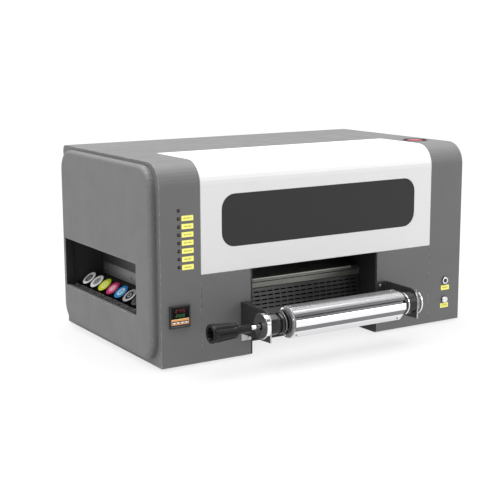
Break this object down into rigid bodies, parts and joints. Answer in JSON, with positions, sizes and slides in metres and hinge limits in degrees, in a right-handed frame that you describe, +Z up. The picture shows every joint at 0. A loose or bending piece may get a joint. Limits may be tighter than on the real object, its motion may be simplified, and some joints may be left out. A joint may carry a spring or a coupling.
{
  "type": "roll-fed uv printer",
  "caption": "Desktop roll-fed UV film printer: grey body, hinged white front cover with a dark window, ink bay in its left side and a powered chrome take-up mandrel across the front.",
  "frame": {"origin": "middle of the whole box, on the surface that the rubber feet stand on", "axes": "+X to the right seen from the front, +Y to the back, +Z up; the cover, buttons and take-up mandrel face -Y"},
  "size_m": [0.853, 0.621, 0.4386],
  "materials": {
    "grey_paint": "fine satin texture",
    "white_paint": "smooth satin",
    "tinted_window": "gloss, tinted",
    "dark_metal": "black anodised",
    "black_sheet": "perforated, matt",
    "platen_aluminium": "satin anodised",
    "machined_aluminium": "satin",
    "chrome": "polished",
    "steel": "ground",
    "rubber": "matt",
    "black_plastic": "moulded",
    "red_plastic": "satin",
    "white_plastic": "satin",
    "circuit_board": "solder mask",
    "cap_white": "moulded",
    "cap_clear": "moulded",
    "cap_yellow": "moulded",
    "cap_magenta": "moulded",
    "cap_cyan": "moulded",
    "cap_silver": "moulded",
    "cap_grey": "moulded"
  },
  "bodies": {
    "chassis": {"left_column_shell": "grey_paint", "right_column_shell": "grey_paint", "rear_cover": "grey_paint", "left_lower_panel": "grey_paint", "right_lower_panel": "grey_paint", "left_side_cover": "grey_paint", "right_side_cover": "grey_paint", "base_plate": "grey_paint", "engine_frame": "dark_metal", "left_bracket": "dark_metal", "right_bracket": "dark_metal", "film_apron": "black_sheet", "platen": "platen_aluminium", "gantry_beam": "machined_aluminium", "left_bearing": "chrome", "right_bearing": "chrome", "start_button_bezel": "chrome", "pause_button_bezel": "chrome", "foot_front_left": "rubber", "foot_front_right": "rubber", "foot_rear_left": "rubber", "foot_rear_right": "rubber", "carriage_belt": "rubber", "estop_cup": "black_plastic", "temperature_controller": "black_plastic", "power_inlet": "black_plastic", "ink_bay_tray": "black_plastic", "carriage_motor": "black_plastic", "indicator_strip": "circuit_board"},
    "cover": {"front_cover": "white_paint", "cover_window": "tinted_window"},
    "carriage": {"print_carriage": "black_plastic", "print_head": "steel", "uv_lamp": "machined_aluminium"},
    "drive_pulley": {"drive_pulley": "steel"},
    "idler_pulley": {"idler_pulley": "steel"},
    "mandrel": {"mandrel_core": "dark_metal"},
    "knob": {"takeup_knob": "black_plastic", "takeup_drawbar": "chrome"},
    "leaf_1": {"mandrel_leaf_1": "chrome"},
    "leaf_2": {"mandrel_leaf_2": "chrome"},
    "leaf_3": {"mandrel_leaf_3": "chrome"},
    "feed_roller": {"feed_roller": "steel"},
    "pinch_roller": {"pinch_roller": "rubber"},
    "supply_shaft": {"supply_shaft": "machined_aluminium"},
    "estop": {"estop_head": "red_plastic"},
    "start_button": {"start_button_cap": "black_plastic"},
    "pause_button": {"pause_button_cap": "white_plastic"},
    "capping_station": {"capping_station": "black_plastic"},
    "key_1": {"controller_key_1": "white_plastic"},
    "key_2": {"controller_key_2": "white_plastic"},
    "key_3": {"controller_key_3": "white_plastic"},
    "key_4": {"controller_key_4": "white_plastic"},
    "cap_1": {"ink_cap_1": "cap_white"},
    "cap_2": {"ink_cap_2": "cap_clear"},
    "cap_3": {"ink_cap_3": "cap_yellow"},
    "cap_4": {"ink_cap_4": "cap_magenta"},
    "cap_5": {"ink_cap_5": "cap_cyan"},
    "cap_6": {"ink_cap_6": "cap_silver"},
    "cap_7": {"ink_cap_7": "cap_grey"}
  },
  "joints": [
    {"name": "cover_open", "type": "hinge", "parent": "chassis", "child": "cover", "pos_m": [0, 0.0149, 0.437], "axis": [-1, 0, 0], "range_deg": [0, 80]},
    {"name": "carriage_travel", "type": "slide", "parent": "chassis", "child": "carriage", "axis": [-1, 0, 0], "range_m": [0, 0.44]},
    {"name": "drive_pulley_turn", "type": "hinge", "parent": "chassis", "child": "drive_pulley", "pos_m": [0.336, 0.073, 0.265], "axis": [0, 1, 0], "range_deg": [-2339.3, 2339.3]},
    {"name": "idler_pulley_turn", "type": "hinge", "parent": "chassis", "child": "idler_pulley", "pos_m": [-0.3205, 0.073, 0.265], "axis": [0, 1, 0], "range_deg": [-2339.3, 2339.3]},
    {"name": "takeup_spin", "type": "hinge", "parent": "chassis", "child": "mandrel", "pos_m": [-0.0175, -0.2755, 0.094], "axis": [1, 0, 0], "continuous": true},
    {"name": "knob_turn", "type": "hinge", "parent": "mandrel", "child": "knob", "pos_m": [-0.3105, -0.2755, 0.094], "axis": [1, 0, 0], "range_deg": [0, 724]},
    {"name": "leaf_1_spread", "type": "slide", "parent": "mandrel", "child": "leaf_1", "axis": [0, -0.788, -0.6157], "range_m": [0, 0.0015]},
    {"name": "leaf_2_spread", "type": "slide", "parent": "mandrel", "child": "leaf_2", "axis": [0, -0.1392, 0.9903], "range_m": [0, 0.00151]},
    {"name": "leaf_3_spread", "type": "slide", "parent": "mandrel", "child": "leaf_3", "axis": [0, 0.9272, -0.3746], "range_m": [0, 0.00151]},
    {"name": "feed_spin", "type": "hinge", "parent": "chassis", "child": "feed_roller", "pos_m": [-0.0175, 0.0765, 0.1445], "axis": [1, 0, 0], "continuous": true},
    {"name": "pinch_spin", "type": "hinge", "parent": "chassis", "child": "pinch_roller", "pos_m": [-0.0175, 0.0765, 0.1651], "axis": [1, 0, 0], "continuous": true},
    {"name": "supply_spin", "type": "hinge", "parent": "chassis", "child": "supply_shaft", "pos_m": [-0.0175, 0.2405, 0.093], "axis": [1, 0, 0], "continuous": true},
    {"name": "estop_press", "type": "slide", "parent": "chassis", "child": "estop", "axis": [0, 0, -1], "range_m": [0, 0.004], "stiffness_N_per_m": 900, "springref_m": -0.001},
    {"name": "start_press", "type": "slide", "parent": "chassis", "child": "start_button", "axis": [0, 1, 0], "range_m": [0, 0.002], "stiffness_N_per_m": 400, "springref_m": -0.0005},
    {"name": "pause_press", "type": "slide", "parent": "chassis", "child": "pause_button", "axis": [0, 1, 0], "range_m": [0, 0.002], "stiffness_N_per_m": 400, "springref_m": -0.0005},
    {"name": "key_1_press", "type": "slide", "parent": "chassis", "child": "key_1", "axis": [0, 1, 0], "range_m": [0, 0.0005], "stiffness_N_per_m": 500, "springref_m": -0.0003},
    {"name": "key_2_press", "type": "slide", "parent": "chassis", "child": "key_2", "axis": [0, 1, 0], "range_m": [0, 0.0005], "stiffness_N_per_m": 500, "springref_m": -0.0003},
    {"name": "key_3_press", "type": "slide", "parent": "chassis", "child": "key_3", "axis": [0, 1, 0], "range_m": [0, 0.0005], "stiffness_N_per_m": 500, "springref_m": -0.0003},
    {"name": "key_4_press", "type": "slide", "parent": "chassis", "child": "key_4", "axis": [0, 1, 0], "range_m": [0, 0.0005], "stiffness_N_per_m": 500, "springref_m": -0.0003},
    {"name": "capping_lift", "type": "slide", "parent": "chassis", "child": "capping_station", "axis": [0, 0, 1], "range_m": [0, 0.003]},
    {"name": "cap_1_unscrew", "type": "hinge", "parent": "chassis", "child": "cap_1", "pos_m": [-0.3755, 0.2605, 0.118], "axis": [-0.6198, 0, 0.7848], "range_deg": [0, 540]},
    {"name": "cap_2_unscrew", "type": "hinge", "parent": "chassis", "child": "cap_2", "pos_m": [-0.3755, 0.2165, 0.118], "axis": [-0.6198, 0, 0.7848], "range_deg": [0, 540]},
    {"name": "cap_3_unscrew", "type": "hinge", "parent": "chassis", "child": "cap_3", "pos_m": [-0.3755, 0.1725, 0.118], "axis": [-0.6198, 0, 0.7848], "range_deg": [0, 540]},
    {"name": "cap_4_unscrew", "type": "hinge", "parent": "chassis", "child": "cap_4", "pos_m": [-0.3755, 0.1285, 0.118], "axis": [-0.6198, 0, 0.7848], "range_deg": [0, 540]},
    {"name": "cap_5_unscrew", "type": "hinge", "parent": "chassis", "child": "cap_5", "pos_m": [-0.3755, 0.0845, 0.118], "axis": [-0.6198, 0, 0.7848], "range_deg": [0, 540]},
    {"name": "cap_6_unscrew", "type": "hinge", "parent": "chassis", "child": "cap_6", "pos_m": [-0.3755, 0.0405, 0.118], "axis": [-0.6198, 0, 0.7848], "range_deg": [0, 540]},
    {"name": "cap_7_unscrew", "type": "hinge", "parent": "chassis", "child": "cap_7", "pos_m": [-0.3755, -0.0035, 0.118], "axis": [-0.6198, 0, 0.7848], "range_deg": [0, 540]}
  ],
  "couplings": [
    {"joint": "drive_pulley_turn", "follows": "carriage_travel", "rad_per_m": -92.593},
    {"joint": "idler_pulley_turn", "follows": "carriage_travel", "rad_per_m": -92.593},
    {"joint": "pinch_spin", "follows": "feed_spin", "ratio": -1.5},
    {"joint": "knob_turn", "follows": "leaf_1_spread", "rad_per_m": 8377.6},
    {"joint": "leaf_2_spread", "follows": "leaf_1_spread", "ratio": 1},
    {"joint": "leaf_3_spread", "follows": "leaf_1_spread", "ratio": 1}
  ]
}
